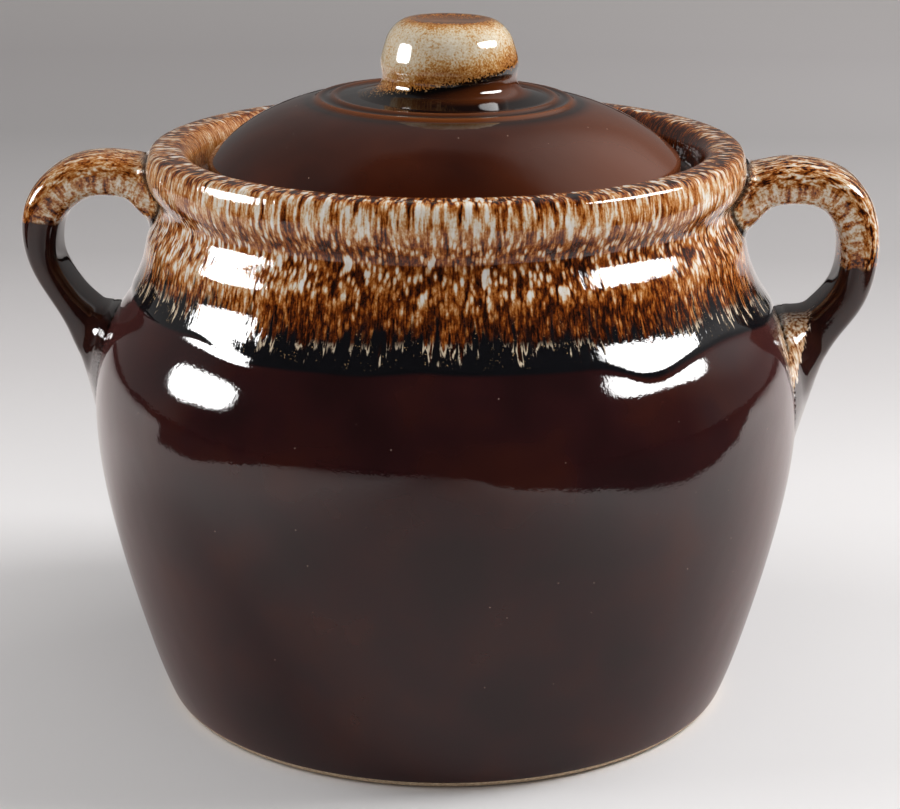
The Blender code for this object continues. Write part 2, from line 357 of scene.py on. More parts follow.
# %% Turn the lid
LID_SHIFT = -0.5
LID_CROWN = 155.3
LID_FALL = 15.1
LID_REACH = 58.5
LID_POWER = 3.8
LID_RADIUS = 59.3
LID_REST = 134.0
LID_LIP_TOP = 138.8
LID_LIP_ROUND = 2.0
LIP_DRAWN_IN = 0.15
LIP_EASE_UP = 0.5
LIP_EASE_DOWN = 0.8
LOCATOR_RADIUS = 52.0
LOCATOR_WALL = 3.0
LOCATOR_DEPTH = 6.2
LOCATOR_ROOT = 9.3
LID_THICKNESS = 5.8
RIDGE_RADII = (27.8, 31.5)
RIDGE_HEIGHT = 0.6
RIDGE_HALF_WIDTH = 1.5
DOME_MIDDLE = (0.0, 8.0, 16.0)
DOME_FINE_FROM = 20.0
DOME_STEP = 0.5
UNDER_RADII = (44.0, 34.0, 20.0)
EDGE_SPACING = 0.5
TOP_BAND = 3.0
DOME_LEAN = -0.013
LEAN_POWER = 4.0
LID_STEPS = 160


def ridge_share(radius):
    """From 0 on the plain dome to 1 on top of a raised ring."""
    share = np.zeros_like(radius)
    for ridge in RIDGE_RADII:
        offset = np.clip(np.abs(radius - ridge) / RIDGE_HALF_WIDTH, 0, 1)
        share = np.maximum(share, np.cos(offset * math.pi / 2)**2)
    return share


def dome_height(radius):
    """Height of the lid's top at a radius."""
    radius = np.asarray(radius, float)
    dome = LID_CROWN - LID_FALL * (radius / LID_REACH)**LID_POWER
    return dome + RIDGE_HEIGHT * ridge_share(radius)


def lid_outline():
    """Lid from its crown over the edge to the middle of its underside."""
    dome_radii = np.concatenate([DOME_MIDDLE, np.arange(DOME_FINE_FROM, LID_REACH, DOME_STEP)])
    dome = np.stack([dome_radii, dome_height(dome_radii)], axis=1)
    edge = smooth_line([tuple(dome[-1]), (LID_RADIUS - LIP_DRAWN_IN, LID_LIP_TOP + LIP_EASE_UP),
                        (LID_RADIUS, LID_LIP_TOP - LIP_EASE_DOWN),
                        (LID_RADIUS, LID_REST + LID_LIP_ROUND)], EDGE_SPACING)
    lip = arc((LID_RADIUS - LID_LIP_ROUND, LID_REST + LID_LIP_ROUND),
              (LID_LIP_ROUND, LID_LIP_ROUND), 0, -90, 8)
    tip = LOCATOR_WALL / 2
    locator = arc((LOCATOR_RADIUS - tip, LID_REST - LOCATOR_DEPTH + tip), (tip, tip), 0, -180, 10)
    inner = LOCATOR_RADIUS - LOCATOR_WALL
    below_dome = [(radius, float(dome_height(radius)) - LID_THICKNESS) for radius in UNDER_RADII]
    under = smooth_line([(inner, float(dome_height(inner)) - LOCATOR_ROOT), *below_dome,
                         (0.0, LID_CROWN - LID_THICKNESS)], INSIDE_SPACING)
    return np.vstack([dome, edge[1:], lip[1:], [(LOCATOR_RADIUS, LID_REST)], locator, under])


def select_only(piece):
    """Selects one piece alone and makes it the active one."""
    bpy.ops.object.select_all(action="DESELECT")
    piece.select_set(True)
    bpy.context.view_layer.objects.active = piece


def centre_at(piece, shift):
    """Moves a piece's mesh sideways, while its object stays at the origin."""
    select_only(piece)
    bpy.ops.object.mode_set(mode="EDIT")
    bpy.ops.mesh.select_all(action="SELECT")
    bpy.ops.transform.translate(value=(shift * MM, 0.0, 0.0))
    bpy.ops.object.mode_set(mode="OBJECT")


def slide_vertices(piece, moves):
    """Moves vertices by rows in millimetres, with one Displace modifier for each axis."""
    for axis, letter in enumerate("XYZ"):
        reach = max(float(np.abs(moves[:, axis]).max()), WELD)
        for sign in (1, -1):
            fill_group(piece, letter, np.clip(sign * moves[:, axis] / reach, 0, 1))
            displace_by_group(piece, letter, sign * reach, letter)


def lean_upwards(piece, share):
    """Tips a piece about Y by raising and lowering its vertices."""
    places = vertex_places(piece)
    rise = places[:, 0] * DOME_LEAN * share
    slide_vertices(piece, np.stack([0 * rise, 0 * rise, rise], axis=1))


lid = turn_on_wheel("domed_lid", lid_outline(), LID_STEPS)
_, lid_meridian = round_the_axis(vertex_places(lid))
lid_radius, lid_height = lid_meridian.T
lid_top = lid_height > np.interp(lid_radius, [0, LID_RADIUS], [LID_CROWN - TOP_BAND, LID_REST])
store_numbers(lid, "from_axis", lid_radius)
lean_upwards(lid, np.clip(1 - (lid_radius / LID_REACH)**LEAN_POWER, 0, 1) * lid_top)
centre_at(lid, LID_SHIFT)
print("lid:", len(lid.data.vertices), "vertices, radius", LID_RADIUS, "mm")

# %% [markdown]
# The knob is a flattened ball on a low waist, thrown as one piece with its foot and stuck
# on with slip, which the potter smooths into the dome. Only its outline matters, so it is
# one more turn of the wheel. The flared foot ends just under the lid's surface.

# %% Turn the knob
KNOB_SHIFT = 0.8
KNOB_KNOTS = [(7.0, 173.5), (9.3, 173.8), (11.2, 173.5), (13.0, 172.5), (14.4, 171.1),
              (15.4, 169.5), (16.1, 167.6), (16.7, 165.7), (17.1, 163.9), (17.15, 162.2),
              (16.9, 160.4), (16.9, 158.7), (17.6, 157.2), (19.9, 155.9), (22.9, 155.0),
              (24.7, 154.55)]
KNOB_TOP = 173.4
KNOB_SEAT = 154.4
KNOB_GIRTH = 17.2
KNOB_STEPS = 96
knob_line = smooth_line(KNOB_KNOTS, EDGE_SPACING)
knob = turn_on_wheel("lid_knob_turned",
                     np.vstack([[(0.0, KNOB_TOP)], knob_line, [(0.0, KNOB_SEAT)]]), KNOB_STEPS)
knob_angles, knob_meridian = round_the_axis(vertex_places(knob))
knob_fall = run_length(knob_line)[nearest_index(knob_meridian, knob_line)]
store_vectors(knob, "glaze_flow", unrolled(knob_angles, knob_fall, KNOB_GIRTH))
store_numbers(knob, "from_axis", knob_meridian[:, 0])
lean_upwards(knob, 1.0)
centre_at(knob, KNOB_SHIFT)
print("knob:", len(knob.data.vertices), "vertices")

# %% [markdown]
# A strap handle is a flat bar of soft clay, bent into an ear and stuck to the wall.
# A bevelled curve can't change its thickness and its width apart from each other, so
# the bar is extruded ring by ring from a squared circle: move, scale and turn, as one
# would by hand. Each row below is one measured place on the handle: reach from the
# pot's axis, height, thickness and width. The two ears differ a little, as real ones do.

# %% Pull the strap handles
LEFT_STRAP = [(69.0, 130.0, 18.0, 22.5), (71.5, 130.3, 17.0, 22.0), (77.0, 133.0, 12.0, 20.5),
              (84.0, 134.5, 10.7, 19.5), (91.2, 134.1, 10.9, 19.0), (97.2, 131.1, 11.3, 19.0),
              (101.7, 125.8, 10.7, 19.0), (103.2, 119.0, 9.4, 19.0), (102.3, 112.0, 7.8, 19.0),
              (99.2, 105.8, 7.3, 19.0), (95.2, 100.0, 8.2, 19.5), (91.2, 94.3, 11.0, 20.5),
              (89.0, 86.5, 9.0, 21.0), (87.5, 76.5, 6.8, 20.0), (86.9, 69.0, 4.2, 17.0)]
RIGHT_STRAP = [(69.0, 129.2, 18.0, 22.5), (71.5, 129.4, 18.0, 22.0), (77.5, 132.1, 12.2, 20.5),
               (84.5, 134.0, 11.0, 19.5), (91.5, 133.8, 11.0, 19.0), (98.2, 131.3, 11.3, 19.0),
               (102.1, 126.1, 11.1, 19.0), (103.8, 119.2, 10.4, 19.0), (103.5, 112.0, 9.8, 19.0),
               (101.4, 105.3, 9.8, 19.0), (96.6, 99.0, 10.4, 19.5), (91.9, 92.6, 11.6, 20.5),
               (89.4, 84.0, 9.4, 21.0), (87.6, 73.5, 6.6, 20.0), (86.9, 66.0, 4.2, 17.0)]
RING_SPACING = 2.4
SECTION_POINTS = 28
SECTION_HALF = 0.5
SECTION_SQUARENESS = 3.2
ROUNDING_LEVELS = 2


def tilt_of(direction):
    """Turn about Y that takes the upward axis to a direction in the XZ plane."""
    return math.atan2(direction[0], direction[1])


def add_section(name):
    """A circle squared into the section of a strap, one unit across each way."""
    bpy.ops.object.select_all(action="DESELECT")
    bpy.ops.mesh.primitive_circle_add(
        vertices=SECTION_POINTS, radius=SECTION_HALF, fill_type="NGON")
    piece = start_piece(name)
    for vertex in piece.data.vertices:
        for axis in (0, 1):
            share = abs(vertex.co[axis]) / SECTION_HALF
            squared = SECTION_HALF * share**(2 / SECTION_SQUARENESS)
            vertex.co[axis] = math.copysign(squared, vertex.co[axis])
    return piece


def pull_strap(name, side, knots):
    """A strap handle, extruded ring by ring along its centre line, and that line."""
    rings = smooth_line(knots, RING_SPACING)
    centres = rings[:, :2] * (side, 1)
    tilts = np.unwrap([tilt_of(direction) for direction in np.gradient(centres, axis=0)])
    piece = add_section(name)
    bpy.ops.object.mode_set(mode="EDIT")
    bpy.ops.mesh.select_all(action="SELECT")
    bpy.ops.transform.resize(value=(rings[0, 2] * MM, rings[0, 3] * MM, 1.0),
                             center_override=(0.0, 0.0, 0.0))
    bpy.ops.transform.rotate(value=-tilts[0], orient_axis="Y", center_override=(0.0, 0.0, 0.0))
    bpy.ops.transform.translate(value=(centres[0, 0] * MM, 0.0, centres[0, 1] * MM))
    for row in range(1, len(rings)):
        step = (centres[row] - centres[row - 1]) * MM
        centre = (centres[row, 0] * MM, 0.0, centres[row, 1] * MM)
        thicker = rings[row, 2] / rings[row - 1, 2]
        wider = rings[row, 3] / rings[row - 1, 3]
        bpy.ops.mesh.extrude_region_move(
            TRANSFORM_OT_translate={"value": (step[0], 0.0, step[1])})
        bpy.ops.transform.resize(value=(thicker, wider, thicker), center_override=centre)
        bpy.ops.transform.rotate(value=tilts[row - 1] - tilts[row], orient_axis="Y",
                                 center_override=centre)
    bpy.ops.mesh.select_all(action="SELECT")
    bpy.ops.mesh.normals_make_consistent(inside=False)
    bpy.ops.object.mode_set(mode="OBJECT")
    rounding = piece.modifiers.new("Rounding", "SUBSURF")
    rounding.levels = ROUNDING_LEVELS
    rounding.render_levels = ROUNDING_LEVELS
    bpy.ops.object.modifier_apply(modifier=rounding.name)
    return piece, centres


left_handle, left_line = pull_strap("strap_handle_left", -1, LEFT_STRAP)
right_handle, right_line = pull_strap("strap_handle_right", 1, RIGHT_STRAP)
for handle in (left_handle, right_handle):
    reach = np.abs(vertex_places(handle)[:, 0]).max()
    print(handle.name, len(handle.data.vertices), "vertices, reach", round(float(reach), 1), "mm")

# %% [markdown]
# Where the strap meets the wall, glaze fills the corner, and the potter's thumb has
# spread the clay. A Bevel modifier can't round a joint between two pieces, so each
# vertex of the strap learns how far it is from the wall. Close to it, it slides along
# the wall, away from the strap's middle, by as much as a round fillet asks for. The wall
# is curved, so a second look at the distance brings the slid vertices back onto it.

# %% Flare the roots of the handles
TOP_FILLET = 2.2
LOW_FILLETS = {"strap_handle_left": 5.5, "strap_handle_right": 8.0}
ROOT_DIVIDE = 118.0
FILLET_CURVE = 1.7
FADE_INSIDE = 4.0
ROOT_SINK = 0.08
SLIDE_SEEN = 0.05


def beside_line(places, line):
    """For each place its nearest point on a line, the way to the left, and how far off."""
    index = np.clip(nearest_index(places, line), 1, len(line) - 2)
    along = line[index + 1] - line[index - 1]
    along = along / np.linalg.norm(along, axis=1)[:, None]
    left = np.stack([-along[:, 1], along[:, 0]], axis=1)
    return index, left, ((places - line[index]) * left).sum(axis=1)


def wall_distance(places):
    """Distance from the body's outside, positive in the open, and the wall's normal."""
    _, meridian = round_the_axis(places)
    _, outward, distance = beside_line(meridian, outside_outline)
    direction = places[:, :2] / np.maximum(meridian[:, :1], 1.0)
    normal = np.column_stack([direction * outward[:, :1], outward[:, 1]])
    return distance, normal


def flare_roots(piece):
    """Rounds the corners between the strap and the body."""
    places = vertex_places(piece)
    distance, wall_normal = wall_distance(places)
    size = np.where(places[:, 2] > ROOT_DIVIDE, TOP_FILLET, LOW_FILLETS[piece.name])
    left_over = np.clip(size - np.maximum(distance, 0), 0, size)
    slide = size * (left_over / size)**FILLET_CURVE
    slide = slide * np.clip(1 + distance / FADE_INSIDE, 0, 1)
    normals = vertex_rows(piece, "normal")
    along_wall = normals - (normals * wall_normal).sum(axis=1)[:, None] * wall_normal
    moves = along_wall * slide[:, None]
    new_distance, new_normal = wall_distance(places + moves)
    off_wall = np.where(slide > 0, new_distance - distance + ROOT_SINK, 0.0)
    slide_vertices(piece, moves - new_normal * off_wall[:, None])
    return int((slide > SLIDE_SEEN).sum())


for handle in (left_handle, right_handle):
    print(handle.name, "flared at", flare_roots(handle), "vertices")

# %% [markdown]
# The handles get a flow attribute as well. For a strap, the run is the distance along
# the bar, and the other two numbers are the place in its section, so streaks can follow
# the arch. Two more attributes hold the distance from the body's wall and the way the
# wall faces there, because the glaze runs over the joint without a break.

# %% Remember the run of the straps
LINE_FINE_SPACING = 0.3


def store_strap_flow(piece, line):
    """Keeps the run along the strap, the place in its section, and how the wall lies."""
    places = vertex_places(piece)
    fine = smooth_line(line, LINE_FINE_SPACING)
    run = run_length(fine)
    index, _, to_left = beside_line(places[:, [0, 2]], fine)
    offset = to_left * np.sign(line[-1, 0])
    store_vectors(piece, "strap_run", np.stack([run[index], places[:, 1], offset], axis=1))
    from_wall, wall_normal = wall_distance(places)
    store_numbers(piece, "from_wall", from_wall)
    store_vectors(piece, "wall_normal", wall_normal)
    return run[-1]


for handle, line in ((left_handle, left_line), (right_handle, right_line)):
    print(handle.name, "runs", round(float(store_strap_flow(handle, line)), 1), "mm")

# %% [markdown]
# Colours are written as sRGB hex values, the way a picture editor shows them, while
# Blender's sockets want linear light, so one function turns the first into the second.
# A material is a graph of nodes. One function adds a node, sets it and fills its inputs,
# and the settings that come back often have a name, so a graph can be read like sums.

# %% Helpers for materials
PLUS = ("ShaderNodeMath", {"operation": "ADD"})
TIMES = ("ShaderNodeMath", {"operation": "MULTIPLY"})
TIMES_PLUS = ("ShaderNodeMath", {"operation": "MULTIPLY_ADD"})
SOFT_STEP = ("ShaderNodeMapRange", {"interpolation_type": "SMOOTHSTEP"})
BLEND = ("ShaderNodeMix", {"data_type": "RGBA"})
RAMP = ("ShaderNodeValToRGB", {})
NOISE = ("ShaderNodeTexNoise", {})


def linear(hex_colour):
    """A linear colour with alpha from an sRGB hex value such as '8A4B20'."""
    channels = [int(hex_colour[place:place + 2], 16) / 255 for place in (0, 2, 4)]
    return tuple(value / 12.92 if value <= 0.04045 else ((value + 0.055) / 1.055)**2.4
                 for value in channels) + (1.0,)


def fill_inputs(material, node, inputs):
    """Fills a node's inputs, by name from a dict or else in order, those in use only.

    An input takes a value, a hex colour, a socket, or a node for its first output in use.
    """
    named = isinstance(inputs, dict)
    sockets = node.inputs if named else [socket for socket in node.inputs if socket.enabled]
    for place, value in inputs.items() if named else enumerate(inputs):
        if isinstance(value, bpy.types.Node):
            value = next(output for output in value.outputs if output.enabled)
        if isinstance(value, bpy.types.NodeSocket):
            material.node_tree.links.new(value, sockets[place])
        elif isinstance(value, str):
            sockets[place].default_value = linear(value)
        else:
            sockets[place].default_value = value


def add_node(material, kind, inputs=(), stops=(), **settings):
    """Adds a node, sets it, fills its inputs, and gives a ramp its stops."""
    type_name, usual_settings = kind if isinstance(kind, tuple) else (kind, {})
    node = material.node_tree.nodes.new(type_name)
    for setting, value in {**usual_settings, **settings}.items():
        setattr(node, setting, value)
    fill_inputs(material, node, inputs)
    if stops:
        elements = node.color_ramp.elements
        for _ in stops[2:]:
            elements.new(0.5)
        for element, (position, colour) in zip(elements, stops):
            element.position = position
            element.color = linear(colour) if isinstance(colour, str) else (colour,) * 3 + (1.0,)
    return node


def new_material(name):
    """A material, its Principled shader, and the function that adds nodes to it."""
    material = bpy.data.materials.new(name)
    material.use_nodes = True
    return material, material.node_tree.nodes["Principled BSDF"], partial(add_node, material)


def per_mm(size):
    """Noise scale for a detail of a size in millimetres, on coordinates in metres."""
    return 1.0 / (size * MM)


print("sRGB 808080 is", round(linear("808080")[0], 3), "in linear light")

# %% [markdown]
# All the glazes are glass over clay: smooth, with a typical index of refraction. They
# share three patterns. Noise that is squeezed one way gives streaks and drops that run
# with the flow. Spots in a few cells of a Voronoi texture give big drops and pinholes.
# Bumps, one on another, give the fine orange peel and the slow swell of a poured glaze.

# %% Patterns that the glazes share
GLASSY = {"Roughness": 0.045, "IOR": 1.52}


def streaky_noise(add, flow, width, squeeze, detail, distortion=0.0, roughness=0.55):
    """Noise `width` mm across, drawn out along each axis that is squeezed below 1."""
    places = add("ShaderNodeMapping", {"Vector": flow, "Scale": squeeze})
    return add(NOISE, {"Vector": places, "Scale": per_mm(width), "Detail": detail,
                       "Roughness": roughness, "Distortion": distortion})


def scattered_spots(add, places, width, spot_edge, choice):
    """Soft round spots in a few of the cells of a pattern `width` mm across."""
    cells = add("ShaderNodeTexVoronoi", {"Vector": places, "Scale": per_mm(width)})
    spots = add(SOFT_STEP, (cells.outputs["Distance"], *spot_edge))
    chosen = add(SOFT_STEP, (cells.outputs["Color"], *choice))
    return add(TIMES, (spots, chosen))


def stack_bumps(add, layers):
    """Bumps one on another, each a pattern of heights and its depth in millimetres."""
    inputs = {"Strength": 1.0}
    for heights, depth in layers:
        bump = add("ShaderNodeBump", {**inputs, "Height": heights, "Distance": depth * MM})
        inputs["Normal"] = bump
    return bump


print("glass of the glazes:", GLASSY)

# %% [markdown]
# Beside the right handle's root a tongue of the pale glaze ran down, over the wall and
# the strap alike. A texture painted on each piece would have to meet at the joint. A
# rule on Object coordinates, used by both materials, meets there by itself.

# %% Tongue of pale glaze
TONGUE_X = 87.5
TONGUE_TIP = 85.4
TONGUE_SPREAD = 0.27
TONGUE_HALF_WIDTH = 0.5
TONGUE_RAGGED = 4.0
TONGUE_TOP = (107.0, 96.0)
TONGUE_FRONT = (-3.0, -6.0)
TONGUE_GRAIN = 0.8
TONGUE_SQUEEZE = 0.16
TONGUE_STOPS = [(0.30, "341A10"), (0.42, "94592C"), (0.52, "CDA880"), (0.64, "EADFCF")]


def add_tongue(add, under):
    """The tongue's cream and rust streaks over another colour, by place in the object."""
    place = add("ShaderNodeTexCoord").outputs["Object"]
    axes = add("ShaderNodeSeparateXYZ", (place,)).outputs
    grain = streaky_noise(add, place, TONGUE_GRAIN, (1.0, 1.0, TONGUE_SQUEEZE), 2.0,
                          roughness=0.5)
    offset = add(PLUS, (axes["X"], -TONGUE_X * MM))
    aside = add("ShaderNodeMath", (offset,), operation="ABSOLUTE")
    tip_gap = (TONGUE_HALF_WIDTH - TONGUE_TIP * TONGUE_SPREAD) * MM
    gap = add(TIMES_PLUS, (axes["Z"], TONGUE_SPREAD, add(TIMES_PLUS, (aside, -1.0, tip_gap))))
    even_gap = add(PLUS, (gap, -TONGUE_RAGGED / 2 * MM))
    gap = add(TIMES_PLUS, (grain, TONGUE_RAGGED * MM, even_gap))
    inside = add(TIMES, (add(SOFT_STEP, (gap, 0.0, 0.5 * MM)),
                         add(SOFT_STEP, (axes["Z"], *(height * MM for height in TONGUE_TOP)))))
    in_front = add(SOFT_STEP, (axes["Y"], *(depth * MM for depth in TONGUE_FRONT)))
    streaked = add(RAMP, (grain,), stops=TONGUE_STOPS)
    return add(BLEND, (add(TIMES, (inside, in_front)), under, streaked))


print("the tongue's tip is at", (TONGUE_X, TONGUE_TIP), "mm")

# %% [markdown]
# The ground glaze is a glossy iron brown: a lead-free stoneware glaze, smooth as glass,
# nearly black where it is thick. Over it runs the pale glaze: cream where it lies thick,
# rust and brown where the iron bleeds through, with a black fringe at its edge. All of
# it is one clear surface, so it is one material. First come its patterns, and how strong
# each is in every zone down the wall, which one ramp along the fall says for each.

# %% Body glaze, its patterns and zones
# Each pattern has its width in mm, its squeeze down the wall, its detail and distortion
FLOW_PATTERNS = {"streaks": (1.5, 0.17, 1.5, 0.2),
                 "drops": (2.1, 0.40, 1.5, 0.5),
                 "fibres": (0.55, 0.16, 2.0, 0.0),
                 "specks": (0.5, 0.8, 2.0, 0.0),
                 "clouds": (22.0, 1.0, 2.0, 0.0)}
CELL_WIDTH = 1.25
CELL_SQUEEZE = 0.45
# The fall in mm where the zones start and end: the crest is at 0.2, the glaze edge near 1
FALL_START = -12.0
FALL_END = 48.0
WAVE = 6.0
ZONE_STOPS = {
    "cover": [(0.0, 0.34), (0.17, 0.38), (0.21, 0.48), (0.27, 0.48), (0.32, 0.54),
              (0.43, 0.54), (0.49, 0.43), (0.58, 0.45), (0.66, 0.45), (0.73, 0.36),
              (0.81, 0.28), (0.90, 0.25), (1.0, 0.24)],
    "streaks": [(0.17, 0.15), (0.23, 0.60), (0.30, 1.15), (0.42, 1.15), (0.50, 0.40),
                (0.62, 0.15), (1.0, 0.15)],
    "drops": [(0.17, 0.10), (0.22, 1.60), (0.30, 0.45), (0.45, 0.25), (0.58, 0.80),
              (0.66, 0.95), (0.76, 0.50), (0.90, 0.40)],
    "cells": [(0.15, 0.05), (0.24, 0.40), (0.34, 0.06), (0.46, 0.24), (0.60, 0.42),
              (0.72, 0.20), (0.90, 0.10)],
    "fibres": [(0.20, 0.55), (0.50, 0.50), (0.60, 0.28), (0.70, 0.45), (0.80, 0.80)]}

body_glaze, shader, add = new_material("iron brown gloss glaze with cream drip")
flow = add("ShaderNodeAttribute", attribute_name="glaze_flow").outputs["Vector"]
fall = add("ShaderNodeAttribute", attribute_name="fall").outputs["Fac"]
above = add("ShaderNodeAttribute", attribute_name="above_edge").outputs["Fac"]
streaks, drops, fibres, specks, clouds = [
    streaky_noise(add, flow, width, (1.0, 1.0, squeeze), detail, distortion)
    for width, squeeze, detail, distortion in FLOW_PATTERNS.values()]

# Cells: pale in the middle, rust between them
cell_place = add("ShaderNodeMapping", {"Vector": flow, "Scale": (1.0, 1.0, CELL_SQUEEZE)})
cell_lines = add("ShaderNodeTexVoronoi", {"Vector": cell_place, "Scale": per_mm(CELL_WIDTH)})
cells = add(SOFT_STEP, (cell_lines.outputs["Distance"], 0.62, 0.12))

# The drops make the borders of the zones wavy
even_fall = add(PLUS, (fall, -WAVE / 2))
wavy_fall = add(TIMES_PLUS, (drops, WAVE, even_fall))
zone = add("ShaderNodeMapRange", (wavy_fall, FALL_START, FALL_END))
by_zone = {name: add(RAMP, (zone,), stops=stops) for name, stops in ZONE_STOPS.items()}
print("flow patterns:", list(FLOW_PATTERNS), "and ramps by zone:", list(by_zone))

# %% [markdown]
# The potter's dip isn't even round the pot: it is paler at the sides, and large cream
# drops gather at the front of the neck. Each of these is a small shift of one value, the
# share of cream. In the end one ramp turns that value into brown, rust and cream.

# %% Body glaze, the share of cream
BIG_DROP_WIDTH = 3.3
BIG_DROP_SQUEEZE = 0.40
WANDER_WIDTH = 1.6
WANDER_REACH = 1.1
CLOUD_GAIN = 0.26
SPECK_GAIN = 0.30
EVEN_SHIFT = -0.13
DRIP_STOPS = [(0.13, "1E0E09"), (0.26, "451D0B"), (0.36, "803C11"), (0.44, "AC692C"),
              (0.52, "C5905F"), (0.59, "D6BB98"), (0.67, "E0D8CB"), (0.88, "E8E6E3")]

# Large cream drops, in fewer than half of the cells, with wandering outlines
wander = streaky_noise(add, flow, WANDER_WIDTH, (1.0, 1.0, 0.6), 1.0).outputs["Color"]
wander_step = add("ShaderNodeVectorMath", (wander, WANDER_REACH * MM), operation="SCALE")
drop_place = add("ShaderNodeVectorMath", (flow, wander_step), operation="ADD")
drop_grid = add("ShaderNodeMapping", {
    "Vector": drop_place, "Scale": (1.0, 1.0, BIG_DROP_SQUEEZE)})
big_drops = scattered_spots(add, drop_grid, BIG_DROP_WIDTH, (0.40, 0.24), (0.54, 0.60))

# Paler at the sides of the pot, where the dip ran thicker
flow_x = add("ShaderNodeSeparateXYZ", (flow,)).outputs["X"]
from_left = add(TIMES_PLUS, (flow_x, 0.5 / (FLOW_RADIUS * MM), 0.5))
pale_sides = add(RAMP, (from_left,), stops=[
    (0.0, 0.17), (0.20, 0.14), (0.42, 0.03), (0.82, 0.03), (0.94, 0.11)])
side_shift = add(TIMES, (pale_sides, add(SOFT_STEP, (zone, 0.44, 0.56))))
drop_zone = add(RAMP, (zone,), stops=[(0.46, 0.0), (0.55, 0.42), (0.65, 0.42), (0.74, 0.0)])
at_front = add(RAMP, (from_left,), stops=[(0.12, 0.2), (0.32, 1.0), (0.66, 1.0), (0.85, 0.35)])
drop_share = add(TIMES, (add(TIMES, (drop_zone, at_front)), big_drops))
side_shift = add(PLUS, (drop_share, side_shift))
# Painted light and shade inside the mouth: paler at the left, which faces the right lamps, darker
# at the right
half_way = 0.5 * FLOW_RADIUS * MM
mouth_lit_side = add(SOFT_STEP, (flow_x, half_way, -half_way, -0.12, 0.08))
mouth_light_shift = add(TIMES, (mouth_lit_side, add(SOFT_STEP, (zone, 0.20, 0.14))))
side_shift = add(PLUS, (mouth_light_shift, side_shift))
shift = add(TIMES_PLUS, (clouds, CLOUD_GAIN, add(PLUS, (side_shift, EVEN_SHIFT))))

# Each pattern shifts the share both ways about its middle
streak_gain = add(TIMES, (by_zone["streaks"], add(TIMES_PLUS, (at_front, 0.5, 0.5))))
for grain, gain in ((streaks, streak_gain), (drops, by_zone["drops"]),
                    (cells, by_zone["cells"]), (fibres, by_zone["fibres"]),
                    (specks, SPECK_GAIN)):
    shift = add(TIMES_PLUS, (add(PLUS, (grain, -0.5)), gain, shift))
cream_share = add(PLUS, (by_zone["cover"], shift))
drip_colour = add(RAMP, (cream_share,), stops=DRIP_STOPS)
print("the share of cream runs from", DRIP_STOPS[0][1], "to", DRIP_STOPS[-1][1])

# %% [markdown]
# Where the pale glaze thins out above its edge, the iron turns it black. The fringe's
# height follows the streaks, so it looks like fingers, and some end in a cream tip. The
# ground below is brown, with painted light at a slant: lighter and redder towards the outline.
# The bumps come last: orange peel, the raised drops, and a slow swell.

# %% Body glaze, fringe, ground and relief
# The fringe's top in mm: so much for the fibres, so much for the streaks, and a base
FRINGE_FIBRES = 9.0
FRINGE_STREAKS = 26.0
FRINGE_BASE = -9.4
FRINGE_EDGE = (-2.6, 3.4)
FRINGE_BLACK = "121215"
STRAY_RUST = "A88C66"
TIP_CREAM = "DCCBB0"
# Painted light: the lighter, redder brown that the ground takes towards the outline
SLANT_LIT_BROWN = "4C2A28"
PINHOLE_CLAY = "9A8478"
PINHOLE_SPACING = 3.4
PEEL_WIDTH = 0.8
PEEL_DEPTH = 0.015
DROP_RELIEF = 0.09
SWELL_DEPTH = 0.2

streak_top = add(TIMES_PLUS, (streaks, FRINGE_STREAKS, FRINGE_BASE))
fringe_top = add(TIMES_PLUS, (fibres, FRINGE_FIBRES, streak_top))
fringe_gap = add("ShaderNodeMath", (above, fringe_top), operation="SUBTRACT")
fringe = add(SOFT_STEP, (fringe_gap, *FRINGE_EDGE, 1.0, 0.0))
# A finger of the pale glaze ends in a small cream loop: a line where the fringe begins
tip_zone = add(TIMES, (add(SOFT_STEP, (above, 1.4, 2.4)), add(SOFT_STEP, (above, 8.0, 5.5))))
tip_line = add(TIMES, (add(SOFT_STEP, (fringe, 0.18, 0.45)),
                       add(SOFT_STEP, (fringe, 0.98, 0.72))))
tip_few = add(SOFT_STEP, (add(TIMES_PLUS, (specks, 0.35, drops)), 0.58, 0.70))
tips = add(TIMES, (add(TIMES, (tip_zone, tip_line)), tip_few))
# Stray flecks of it lie in the black
stray = add(TIMES, (add(SOFT_STEP, (specks, 0.62, 0.68)), add(SOFT_STEP, (drops, 0.50, 0.60))))
stray = add(TIMES, (stray, add(SOFT_STEP, (above, 1.2, 2.2))))
fringe_colour = add(BLEND, (stray, FRINGE_BLACK, STRAY_RUST))
with_fringe = add(BLEND, (fringe, drip_colour, fringe_colour))
with_tips = add(BLEND, (tips, with_fringe, TIP_CREAM))

brown = add(RAMP, (clouds,), stops=[(0.35, "241112"), (0.5, "2C1415"), (0.7, "381914")])
# Painted light: towards the outline the ground turns lighter and redder, as if lit more
slant = add("ShaderNodeLayerWeight", {"Blend": 0.5}).outputs["Facing"]
ground = add(BLEND, (add(SOFT_STEP, (slant, 0.35, 0.95)), brown, SLANT_LIT_BROWN))
glaze_colour = add(BLEND, (add(SOFT_STEP, (above, -0.4, 0.6)), ground, with_tips))

# Pinholes show the pale clay
pins = scattered_spots(add, flow, PINHOLE_SPACING, (0.055, 0.03), (0.60, 0.62))
with_pins = add(BLEND, (pins, add_tongue(add, glaze_colour), PINHOLE_CLAY))

peel = streaky_noise(add, flow, PEEL_WIDTH, (1.0, 1.0, 1.0), 1.0)
relief = add(TIMES, (drops, add(SOFT_STEP, (above, 0.5, 4.0))))
surface = stack_bumps(add, [(peel, PEEL_DEPTH), (relief, DROP_RELIEF), (clouds, SWELL_DEPTH)])
fill_inputs(body_glaze, shader, {**GLASSY, "Base Color": with_pins, "Normal": surface})
print("material:", body_glaze.name, len(body_glaze.node_tree.nodes), "nodes")

# %% [markdown]
# The pot stands on a bare ring: the glaze is wiped off the foot before firing, or it
# would stick to the kiln shelf. Fired stoneware clay is buff and dry, with fine grog.

